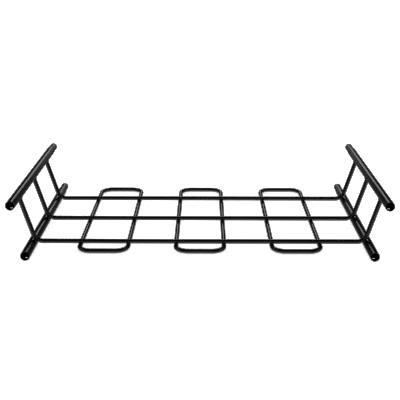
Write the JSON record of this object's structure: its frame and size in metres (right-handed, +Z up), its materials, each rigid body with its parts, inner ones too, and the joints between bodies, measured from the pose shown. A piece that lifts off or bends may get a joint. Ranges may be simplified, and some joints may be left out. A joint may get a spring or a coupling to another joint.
{
  "type": "roof basket extension section",
  "caption": "Open black steel tray section with leaning sides, tube rails that plug into the next section, bent cross rods and wire floor loops.",
  "frame": {"origin": "middle of the section's bounding box in plan, on the plane that the lower rails rest on", "axes": "+X across the vehicle, along the cross rods; +Y along the rails towards their spigots; +Z up, out of the tray"},
  "size_m": [0.9398, 0.5334, 0.1521],
  "materials": {
    "wire_coat": "satin black powder coat on round steel wire",
    "rail_coat": "satin black powder coat on steel tube",
    "weld_coat": "satin black powder coat over weld beads"
  },
  "bodies": {
    "root": {"floor_rod_front": "wire_coat", "floor_rod_middle": "wire_coat", "floor_rod_rear": "wire_coat", "floor_loop_left": "wire_coat", "floor_loop_middle": "wire_coat", "floor_loop_right": "wire_coat", "lower_rail_left": "rail_coat", "lower_rail_right": "rail_coat", "upper_rail_left": "rail_coat", "upper_rail_right": "rail_coat", "weld_lower_left_front": "weld_coat", "weld_lower_left_middle": "weld_coat", "weld_lower_left_rear": "weld_coat", "weld_lower_right_front": "weld_coat", "weld_lower_right_middle": "weld_coat", "weld_lower_right_rear": "weld_coat", "weld_upper_left_front": "weld_coat", "weld_upper_left_middle": "weld_coat", "weld_upper_left_rear": "weld_coat", "weld_upper_right_front": "weld_coat", "weld_upper_right_middle": "weld_coat", "weld_upper_right_rear": "weld_coat"}
  },
  "joints": []
}
